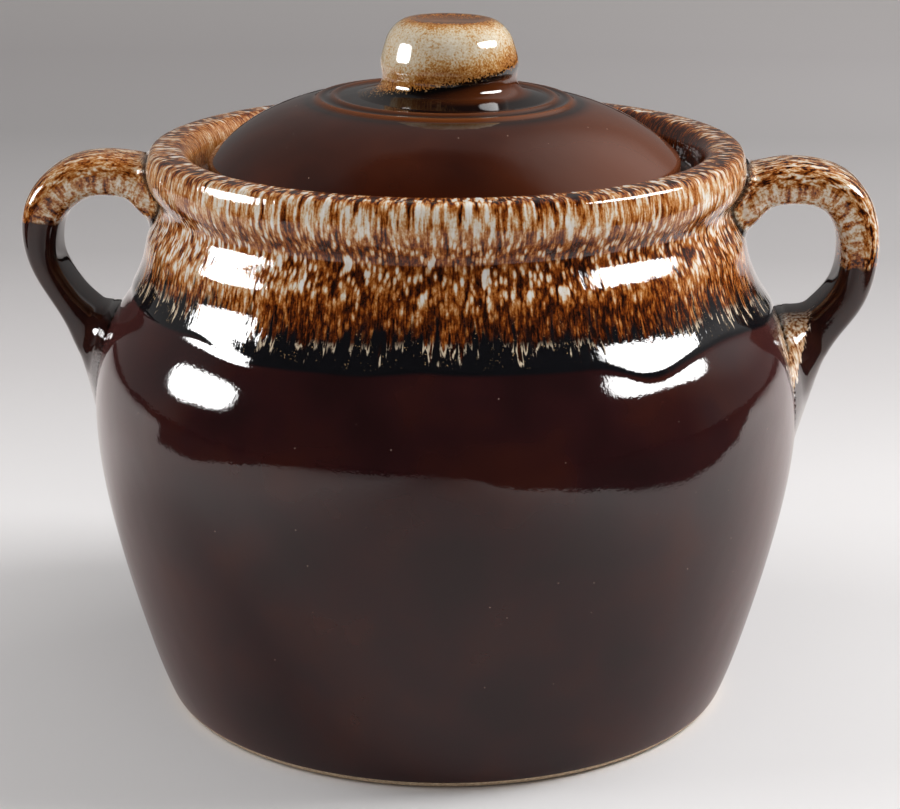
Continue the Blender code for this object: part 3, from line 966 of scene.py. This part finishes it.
# %% Bare clay of the foot
BARE_HEIGHT = 1.1
RECESS_TOP = 2.0
GROG_WIDTH = 0.8
clay, shader, add = new_material("bare buff stoneware clay")
place = add("ShaderNodeTexCoord").outputs["Object"]
grog = add(NOISE, {"Vector": place, "Scale": per_mm(GROG_WIDTH), "Detail": 4.0,
                   "Roughness": 0.7})
clay_colour = add(RAMP, (grog,), stops=[(0.30, "9C8268"), (0.55, "C4AC8E"), (0.75, "D6C3A6")])
fill_inputs(clay, shader, {"Base Color": clay_colour, "Roughness": 0.85,
                           "Normal": stack_bumps(add, [(grog, 0.05)])})

pot_body.data.materials.append(body_glaze)
pot_body.data.materials.append(clay)
for face in pot_body.data.polygons:
    low = face.center.z < BARE_HEIGHT * MM
    underside = face.normal.z < -0.5 and face.center.z < RECESS_TOP * MM
    if low or underside:
        face.material_index = 1
print("bare faces:", sum(face.material_index == 1 for face in pot_body.data.polygons))

# %% [markdown]
# The lid has the ground glaze alone. It is thinner there, so its colour is a warmer
# amber brown, and on the raised rings the glaze breaks to orange over the clay. Round
# the knob it pools nearly black. A ramp along the radius places these rings of colour.

# %% Lid glaze
RING_INNER = 21.7
RING_OUTER = 37.5
RING_STOPS = [(0.0, "130A09"), (0.28, "1C0E0A"), (0.40, "6A3611"), (0.49, "2C140A"),
              (0.58, "231009"), (0.665, "6E3812"), (0.76, "2E140A"), (0.84, "1C0C07"),
              (0.90, "2E130A")]
LID_SWELL_WIDTH = 24.0
LID_SWELL_DEPTH = 0.3
LID_PEEL_WIDTH = 1.1
LID_PEEL_DEPTH = 0.006
LID_PINHOLE_SPACING = 3.6
LID_PINHOLE_CLAY = "A08A7A"
# Painted light: the lighter amber of the lid's right side
LIT_SIDE_AMBER = "6A3820"

lid_glaze, shader, add = new_material("amber brown gloss glaze")
from_axis = add("ShaderNodeAttribute", attribute_name="from_axis").outputs["Fac"]
place = add("ShaderNodeTexCoord").outputs["Object"]
drift = add(NOISE, {"Vector": place, "Scale": per_mm(LID_SWELL_WIDTH), "Detail": 3.0})
amber = add(RAMP, (drift,), stops=[(0.3, "2C1008"), (0.55, "39160A"), (0.75, "451D0D")])
# Painted light: lighter amber towards the right, the side that the stronger lamps light
lid_x = add("ShaderNodeSeparateXYZ", (place,)).outputs["X"]
painted_lit_side = add(SOFT_STEP, (lid_x, 5 * MM, 60 * MM))
amber = add(BLEND, (painted_lit_side, amber, LIT_SIDE_AMBER))
wavy_radius = add(TIMES_PLUS, (drift, 0.8, from_axis))
rings = add("ShaderNodeMapRange", (wavy_radius, RING_INNER, RING_OUTER))
ring_colours = add(RAMP, (rings,), stops=RING_STOPS)
with_rings = add(BLEND, (add(SOFT_STEP, (from_axis, 34.0, 38.0)), ring_colours, amber))
pins = scattered_spots(add, place, LID_PINHOLE_SPACING, (0.06, 0.035), (0.62, 0.64))
with_pins = add(BLEND, (pins, with_rings, LID_PINHOLE_CLAY))
peel = add(NOISE, {"Vector": place, "Scale": per_mm(LID_PEEL_WIDTH), "Detail": 1.0})
surface = stack_bumps(add, [(peel, LID_PEEL_DEPTH), (drift, LID_SWELL_DEPTH)])
fill_inputs(lid_glaze, shader, {**GLASSY, "Base Color": with_pins, "Normal": surface})
lid.data.materials.append(lid_glaze)
print("material:", lid_glaze.name)

# %% [markdown]
# The knob was dipped upside down and a little askew into the pale glaze. Its side is
# cream with fine ochre specks, its flat top and the line above the dip are brown, and
# below a slanting line the dark ground glaze shows. A slope in the dip's height by X
# gives the slant, and specks added to it make the line ragged.

# %% Knob glaze
DIP_HEIGHT = 160.0
DIP_SLOPE = 0.18
DIP_RAGGED = 5.0
SPECK_WIDTH = 0.5
SPECK_DEPTH = 0.008
BAND_BLACK = "0C0909"
# Painted shade and painted light: the knob's foot brown on its left and on its right
FOOT_SHADED_LEFT = "1A0D0A"
FOOT_LIT_RIGHT = "54280F"
FOOT_RIM = "160C0A"
CREAM_STOPS = [(0.10, "3A1E14"), (0.24, "7A4418"), (0.36, "AE6E2E"), (0.46, "BE8E52"),
               (0.54, "CEAC80"), (0.64, "D8C8AC"), (0.88, "E6DECE")]

knob_glaze, shader, add = new_material("speckled cream glaze over brown")
flow = add("ShaderNodeAttribute", attribute_name="glaze_flow").outputs["Vector"]
from_axis = add("ShaderNodeAttribute", attribute_name="from_axis").outputs["Fac"]
place = add("ShaderNodeTexCoord").outputs["Object"]
axes = add("ShaderNodeSeparateXYZ", (place,)).outputs
specks = add(NOISE, {"Vector": place, "Scale": per_mm(SPECK_WIDTH), "Detail": 2.0,
                     "Roughness": 0.6})
grains = streaky_noise(add, flow, 1.5, (1.0, 1.0, 0.6), 2.0)
blotches = streaky_noise(add, flow, 7.0, (1.0, 1.0, 1.0), 2.0)
dip_line = add(TIMES_PLUS, (axes["X"], -DIP_SLOPE, -DIP_HEIGHT * MM))
dip_gap = add(PLUS, (axes["Z"], dip_line))
ragged = add(TIMES_PLUS, (specks, DIP_RAGGED * MM, -DIP_RAGGED / 2 * MM))
dip = add(PLUS, (ragged, dip_gap))
pale_side = add(SOFT_STEP, (dip_gap, 0.0, 8.0 * MM, -0.16, 0.15))
top_disc = add(SOFT_STEP, (from_axis, 8.5, 14.8, -0.40, 0.0))
knob_value = add(PLUS, (pale_side, top_disc))
for grain, gain, base in ((specks, 0.85, -0.42), (grains, 0.30, -0.15), (blotches, 0.30, 0.34)):
    knob_value = add(PLUS, (add(TIMES_PLUS, (grain, gain, base)), knob_value))
cream = add(RAMP, (knob_value,), stops=CREAM_STOPS)
# Under the dip a black band, then the brown foot, with painted light: darker on the left, lighter
# to the right
foot_lit_share = add(SOFT_STEP, (axes["X"], -8 * MM, 16 * MM))
foot_brown = add(BLEND, (foot_lit_share, FOOT_SHADED_LEFT, FOOT_LIT_RIGHT))
below_band = add(SOFT_STEP, (dip_gap, -1.2 * MM, -2.8 * MM))
foot_colour = add(BLEND, (below_band, BAND_BLACK, foot_brown))
foot_colour = add(BLEND, (add(SOFT_STEP, (from_axis, 18.3, 21.5)), foot_colour, FOOT_RIM))
knob_colour = add(BLEND, (add(SOFT_STEP, (dip, -0.4 * MM, 0.2 * MM)), foot_colour, cream))
surface = stack_bumps(add, [(specks, SPECK_DEPTH)])
fill_inputs(knob_glaze, shader, {**GLASSY, "Base Color": knob_colour, "Normal": surface})
knob.data.materials.append(knob_glaze)
print("material:", knob_glaze.name)

# %% [markdown]
# The upper halves of the handles were dipped with the rim, so they end in a level line
# across the strap. On the outer half the pale glaze broke into flecks along the arch, and
# near the hole into streaks across it. Close to the wall in the corner under the rim the
# colour goes nearly black. The glaze runs over the joint, so close to the wall the gloss follows
# the wall's facing.

# %% Handle glaze
CORNER_HEIGHT = 118.0
HANDLE_PEEL_WIDTH = 1.2
HANDLE_PEEL_DEPTH = 0.012
CORNER_BLACK = "121012"
HANDLE_STOPS = [(0.14, "22100B"), (0.27, "5C2A0F"), (0.36, "964F1A"), (0.44, "B4763A"),
                (0.52, "C79C6E"), (0.62, "DCCAB0"), (0.80, "E8E2DA")]


def handle_glaze(name, dip_height, fleck_gain):
    """The dipped glaze of one handle, whose pale part ends at a height in mm."""
    glaze, shader, add = new_material(name + " handle dipped glaze")
    run = add("ShaderNodeAttribute", attribute_name="strap_run").outputs["Vector"]
    wall_gap = add("ShaderNodeAttribute", attribute_name="from_wall").outputs["Fac"]
    place = add("ShaderNodeTexCoord").outputs["Object"]
    height = add("ShaderNodeSeparateXYZ", (place,)).outputs["Z"]
    offset = add("ShaderNodeSeparateXYZ", (run,)).outputs["Z"]

    flecks = streaky_noise(add, run, 1.15, (0.38, 1.0, 1.0), 2.0, 0.4, roughness=0.6)
    crossing = streaky_noise(add, run, 1.5, (1.0, 1.0, 0.28), 2.0, roughness=0.6)
    fine = streaky_noise(add, run, 0.6, (0.7, 1.0, 1.0), 2.0, roughness=0.6)
    patches = streaky_noise(add, run, 6.0, (1.0, 1.0, 1.0), 2.0, roughness=0.6)
    outer = add(SOFT_STEP, (offset, -0.8 * MM, 2.6 * MM))
    outer_value = add(TIMES_PLUS, (flecks, fleck_gain, 0.42 - 0.5 * fleck_gain))
    inner_value = add(TIMES_PLUS, (crossing, 1.3, -0.15))
    value = add("ShaderNodeMix", (outer, inner_value, outer_value))
    for grain, gain in ((fine, 0.7), (patches, 0.5)):
        value = add(PLUS, (add(TIMES_PLUS, (grain, gain, -0.5 * gain)), value))
    dip_gap = add(PLUS, (height, -dip_height * MM))
    ragged = add(TIMES_PLUS, (patches, 4.0 * MM, -2.0 * MM))
    dip = add(PLUS, (ragged, dip_gap))
    value = add(PLUS, (add(SOFT_STEP, (dip, 0.0, 8.0 * MM, -0.10, 0.0)), value))
    pale = add(RAMP, (value,), stops=HANDLE_STOPS)
    lower = add(BLEND, (add(SOFT_STEP, (patches, 0.35, 0.65)), "241110", "301812"))
    two_tone = add(BLEND, (add(SOFT_STEP, (dip, -0.6 * MM, 0.5 * MM)), lower, pale))
    # Nearly black close to the wall, high in the corner under the rim
    near_wall = add(SOFT_STEP, (add(PLUS, (fine, wall_gap)), 2.3, 0.8))
    up_high = add(SOFT_STEP, (height, (CORNER_HEIGHT - 2) * MM, (CORNER_HEIGHT + 4) * MM))
    with_corner = add(BLEND, (add(TIMES, (near_wall, up_high)), two_tone, CORNER_BLACK))

    peel = add(NOISE, {"Vector": place, "Scale": per_mm(HANDLE_PEEL_WIDTH), "Detail": 1.0})
    bumps = stack_bumps(add, [(peel, HANDLE_PEEL_DEPTH)])
    wall = add("ShaderNodeAttribute", attribute_name="wall_normal").outputs["Vector"]
    wall_facing = add("ShaderNodeVectorTransform", {"Vector": wall}, vector_type="NORMAL",
                      convert_from="OBJECT", convert_to="WORLD")
    joint = add("ShaderNodeMix", (add(SOFT_STEP, (wall_gap, 3.2, 0.2)), bumps, wall_facing),
                data_type="VECTOR")
    facing = add("ShaderNodeVectorMath", (joint,), operation="NORMALIZE")
    fill_inputs(glaze, shader, {
        **GLASSY, "Base Color": add_tongue(add, with_corner), "Normal": facing})
    return glaze


left_handle.data.materials.append(handle_glaze("left", 123.4, 1.0))
right_handle.data.materials.append(handle_glaze("right", 113.6, 1.8))
for handle in (left_handle, right_handle):
    print("material:", handle.data.materials[0].name)

# %% [markdown]
# Glazed pieces are shaded smooth, and only true corners such as the foot ring stay
# crisp. Each piece then rides on its CAD body and stands in for its CAD node.

# %% Hang the pieces on the frame
CRISP_DEGREES = 50.0
dressing = [(pot_body, "pot", "pot_body", "brown_glaze"),
            (left_handle, "pot", "left_handle", "drip_glaze"),
            (right_handle, "pot", "right_handle", "drip_glaze"),
            (lid, "lid", "lid", "amber_glaze"),
            (knob, "lid", "lid_knob", "drip_glaze")]
for piece, body, node, slot in dressing:
    select_only(piece)
    bpy.ops.object.shade_smooth_by_angle(angle=math.radians(CRISP_DEGREES))
    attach(piece, body)
    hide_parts(node)
    print(piece.name, "rides on", body, "and stands for", node)

# %% [markdown]
# The pot stands on pale paper, whose colour is painted darker towards the back, where
# less light falls, and paler again far back. The floor is wide and plain, and its colour
# carries the whole backdrop, so that every view has it. In the gloss of the real pot one
# sees the paper end in front and at the sides, with a dark room beyond. So glossy rays
# find pale paper only up to a distance from the pot, which a ramp looks up from the direction.

# %% Floor
FLOOR_SIZE = 8.0
# How far the paper reaches in the gloss: direction in degrees, distance in metres
PAPER_REACH = [(-180, 0.47), (-171, 0.444), (-162.5, 0.45), (-146.5, 0.71), (-131.5, 1.32),
               (-120, 1.6), (-88, 1.6), (-80.5, 1.08), (-74, 0.65), (-67, 0.51), (-56, 0.43),
               (-45, 0.374), (-33, 0.33), (-25, 0.32), (-16, 0.313), (-5, 0.346), (9, 0.47),
               (17, 0.75), (21, 1.2), (28, 1.6), (160, 1.6), (173, 1.3), (178, 0.49), (180, 0.47)]
REACH_MOST = 1.6
PAPER_DEPTH = (-0.1, 1.5)
EYE_DISTANCE = 0.6
PAPER_LEVEL = 0.94
FAR_RIGHT_GAIN = 0.20
GLOSS_PALE = "F8F2F0"
GLOSS_DIM = "BEB8B6"
GLOSS_DARK = "2A2727"
# Painted light and shade on the paper, by distance back from the pot
PAPER_FALLOFF_STOPS = [(0.0, "F2F0F0"), (0.14, "E6E4E4"), (0.24, "CFCCCC"), (0.36, "B8B5B5"),
               (0.55, "B2AFAF"), (0.75, "C8C4C4"), (1.0, "EEEAE9")]
bpy.ops.object.select_all(action="DESELECT")
bpy.ops.mesh.primitive_plane_add(size=FLOOR_SIZE)
floor = start_piece("paper_floor")
paper, shader, add = new_material("pale studio paper")
place = add("ShaderNodeTexCoord").outputs["Object"]
axes = add("ShaderNodeSeparateXYZ", (place,)).outputs
back = add("ShaderNodeMapRange", (axes["Y"], *PAPER_DEPTH))
painted_paper_falloff = add(RAMP, (back,), stops=PAPER_FALLOFF_STOPS)
# Far back it is brighter to the right, where the stronger lamp stands
depth = add("ShaderNodeMath", (add(PLUS, (axes["Y"], EYE_DISTANCE)), 0.3), operation="MAXIMUM")
to_right = add("ShaderNodeMath", (axes["X"], depth), operation="DIVIDE")
far_right = add(TIMES, (add(SOFT_STEP, (to_right, -0.12, 0.24)),
                        add(SOFT_STEP, (axes["Y"], 0.35, 1.1))))
paper_shade = add("ShaderNodeHueSaturation", {
    "Value": add(TIMES_PLUS, (far_right, FAR_RIGHT_GAIN, PAPER_LEVEL)), "Color": painted_paper_falloff})
# In the gloss it ends, and looks brighter at the sides, where the lamps are near
direction = add("ShaderNodeMath", (axes["Y"], axes["X"]), operation="ARCTAN2")
turn_share = add("ShaderNodeMapRange", (direction, -math.pi, math.pi))
reach = add(RAMP, (turn_share,), stops=[
    ((degrees + 180) / 360, distance / REACH_MOST) for degrees, distance in PAPER_REACH])
away = add("ShaderNodeVectorMath", (place,), operation="LENGTH")
beyond = add(TIMES_PLUS, (reach, -REACH_MOST, away))
aside = add("ShaderNodeMath", (axes["X"],), operation="ABSOLUTE")
near_paper = add(BLEND, (add(SOFT_STEP, (aside, 0.05, 0.26)), GLOSS_DIM, GLOSS_PALE))
in_gloss = add(BLEND, (add(SOFT_STEP, (beyond, -0.02, 0.03)), near_paper, GLOSS_DARK))
glossy_ray = add("ShaderNodeLightPath").outputs["Is Glossy Ray"]
shown = add(BLEND, (glossy_ray, paper_shade, in_gloss))
fill_inputs(paper, shader, {"Base Color": shown, "Roughness": 0.9, "Specular IOR Level": 0.0})
floor.data.materials.append(paper)
print("floor:", FLOOR_SIZE, "m wide")

# %% [markdown]
# Two softboxes stand left and right. Their reflections are bright with a soft edge,
# while the light they throw is even. One lamp can't be both without burning the paper
# out, so each side has a bright lamp that only shows in the gloss, and a milder one that
# only lights. The soft edge is a fade across the lamp's own square, as cloth has it. A
# third light from behind right throws the shadow forward to the left.

# %% Lamps
LAMP_DISTANCE = 1.2
AIM = Vector((0.0, 0.0, 0.1))
CLOTH_EDGE = 0.55
CLOTH_ROUNDNESS = 3.2
# Name, degrees round and up, width and height in metres, watts, and degrees of roll
GLOSS_LAMPS = [("left_softbox_shine", 185.0, 18.4, (0.66, 0.37), 24.0, 10.0),
               ("right_softbox_shine", -6.0, 32.0, (0.88, 0.36), 30.0, -14.0)]
PLAIN_LAMPS = [("left_softbox_light", 181.5, 30.0, (0.9, 0.9), 7.8, 0.0),
               ("right_softbox_light", 4.0, 38.0, (0.45, 0.55), 12.6, 0.0),
               ("right_window_light", 36.0, 40.0, (0.6, 0.6), 3.0, 0.0),
               ("front_light", -95.0, 55.0, (1.0, 1.0), 1.6, 0.0)]


def toward(azimuth, elevation):
    """A step of one unit the way that is so many degrees round and up."""
    side, rise = math.radians(azimuth), math.radians(elevation)
    return Vector((math.cos(rise) * math.cos(side), math.cos(rise) * math.sin(side),
                   math.sin(rise)))


def add_lamp(name, azimuth, elevation, size, watts, roll, gloss_only):
    """A softbox that faces the pot, and that is seen in the gloss only or lights only."""
    bpy.ops.object.light_add(type="AREA")
    lamp = start_piece(name)
    lamp.data.shape = "RECTANGLE"
    lamp.data.size, lamp.data.size_y = size
    lamp.data.energy = watts
    lamp.location = AIM + LAMP_DISTANCE * toward(azimuth, elevation)
    look = (AIM - lamp.location).to_track_quat("-Z", "Y")
    lamp.rotation_euler = look.to_euler()
    lamp.rotation_euler.rotate_axis("Z", math.radians(roll))
    lamp.visible_glossy = gloss_only
    lamp.visible_diffuse = not gloss_only
    return lamp


def soften_cloth(lamp):
    """Fades a lamp towards its edges, as the cloth of a softbox does."""
    lamp.data.use_nodes = True
    add = partial(add_node, lamp.data)
    across = add("ShaderNodeNewGeometry").outputs["Parametric"]
    axes = add("ShaderNodeSeparateXYZ", (across,)).outputs
    powers = []
    for letter in "XY":
        offset = add(TIMES_PLUS, (axes[letter], 2.0, -1.0))
        length = add("ShaderNodeMath", (offset,), operation="ABSOLUTE")
        powers.append(add("ShaderNodeMath", (length, CLOTH_ROUNDNESS), operation="POWER"))
    from_middle = add(PLUS, (powers[0], powers[1]))
    share = add(SOFT_STEP, (from_middle, 1.0, 1.0 - CLOTH_EDGE))
    fill_inputs(lamp.data, lamp.data.node_tree.nodes["Emission"], {"Strength": share})


for lamp_row in GLOSS_LAMPS:
    soften_cloth(add_lamp(*lamp_row, gloss_only=True))
for lamp_row in PLAIN_LAMPS:
    add_lamp(*lamp_row, gloss_only=False)

# %% [markdown]
# The room gives a dim even light. In the gloss it has to look like the real one: a grey
# backdrop behind the pot up to a certain height, a paler glow at the back right, and
# darkness above and in front. All of these are soft steps in the direction of a ray.

# %% Room
ROOM_LEVEL = 0.23
ROOM_TINT = "FFFBF9"
GLOW_AZIMUTH = 38.0
GLOW_ELEVATION = 38.0
GLOW_LEVEL = 0.45
BACKDROP_LEVEL = 0.17
DARK_LEVEL = 0.012
OVERHEAD_SHARE = 0.25
REARWARD_EDGE = (-0.15, 0.20)
OVERHEAD_EDGE = (0.94, 0.86)
GLOW_EDGE = (0.82, 0.98)
room = bpy.data.worlds.new("studio room")
bpy.context.scene.world = room
room.use_nodes = True
add = partial(add_node, room)
ray = add("ShaderNodeTexCoord").outputs["Generated"]
axes = add("ShaderNodeSeparateXYZ", (ray,)).outputs
rearward = add(SOFT_STEP, (axes["Y"], *REARWARD_EDGE))
below_top = add(SOFT_STEP, (axes["Z"], *OVERHEAD_EDGE, OVERHEAD_SHARE))
backdrop = add(TIMES, (rearward, below_top))
glow_way = tuple(toward(GLOW_AZIMUTH, GLOW_ELEVATION))
toward_glow = add("ShaderNodeVectorMath", (ray, glow_way), operation="DOT_PRODUCT")
glow = add(SOFT_STEP, (toward_glow, *GLOW_EDGE, 0.0, GLOW_LEVEL))
with_glow = add(TIMES_PLUS, (backdrop, BACKDROP_LEVEL, glow))
in_gloss = add(PLUS, (with_glow, DARK_LEVEL))
glossy_ray = add("ShaderNodeLightPath").outputs["Is Glossy Ray"]
strength = add("ShaderNodeMix", (glossy_ray, ROOM_LEVEL, in_gloss))
fill_inputs(room, room.node_tree.nodes["Background"], {"Strength": strength, "Color": ROOM_TINT})
print("world:", room.name)

# %% [markdown]
# The camera stands where the photo's did: worked out from the ellipses of the rim and
# the base, it looks down by seventeen degrees from about half a metre away.

# %% Camera
CAMERA_PLACE = (0.0249, -0.5707, 0.2507)
CAMERA_DEGREES = (72.80, 0.0, 2.5)
LENS_MM = 92.0
SENSOR_MM = 36.0
SIDE_SHIFT = 0.0041
NEAREST = 0.01
bpy.ops.object.camera_add(location=CAMERA_PLACE,
                          rotation=[math.radians(angle) for angle in CAMERA_DEGREES])
camera = start_piece("studio_camera")
camera.data.lens = LENS_MM
camera.data.sensor_width = SENSOR_MM
camera.data.shift_x = SIDE_SHIFT
camera.data.clip_start = NEAREST
bpy.context.scene.camera = camera
bpy.context.scene.view_settings.view_transform = "Standard"
print("camera:", camera.name, "lens", camera.data.lens, "mm")
